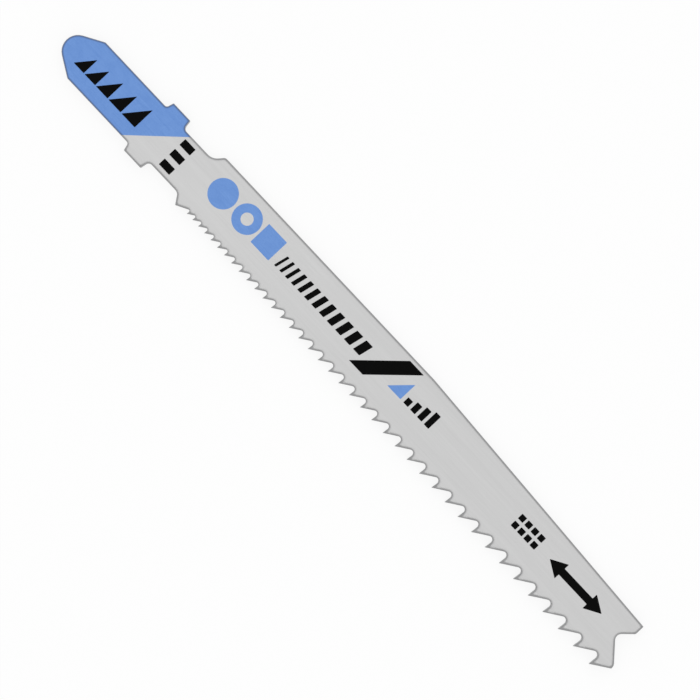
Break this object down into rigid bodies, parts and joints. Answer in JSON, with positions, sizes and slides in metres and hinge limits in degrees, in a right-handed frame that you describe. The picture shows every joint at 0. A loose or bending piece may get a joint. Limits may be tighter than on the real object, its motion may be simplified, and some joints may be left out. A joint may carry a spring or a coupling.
{
  "type": "jigsaw blade",
  "caption": "Flat steel jigsaw blade for metal with a lugged tang, teeth that coarsen toward a notched tip, and a blue tang.",
  "frame": {"origin": "on the back face of the tang, on its centreline, level with the tip side of the lugs", "axes": "+X along the blade from tang to tip, +Y across it toward the spine, +Z out of the printed face"},
  "size_m": [0.1, 0.0099, 0.0014],
  "materials": {
    "blade": "fine brushed high-speed steel, blue paint on the printed face of the tang"
  },
  "bodies": {
    "root": {"blade": "blade"}
  },
  "joints": []
}
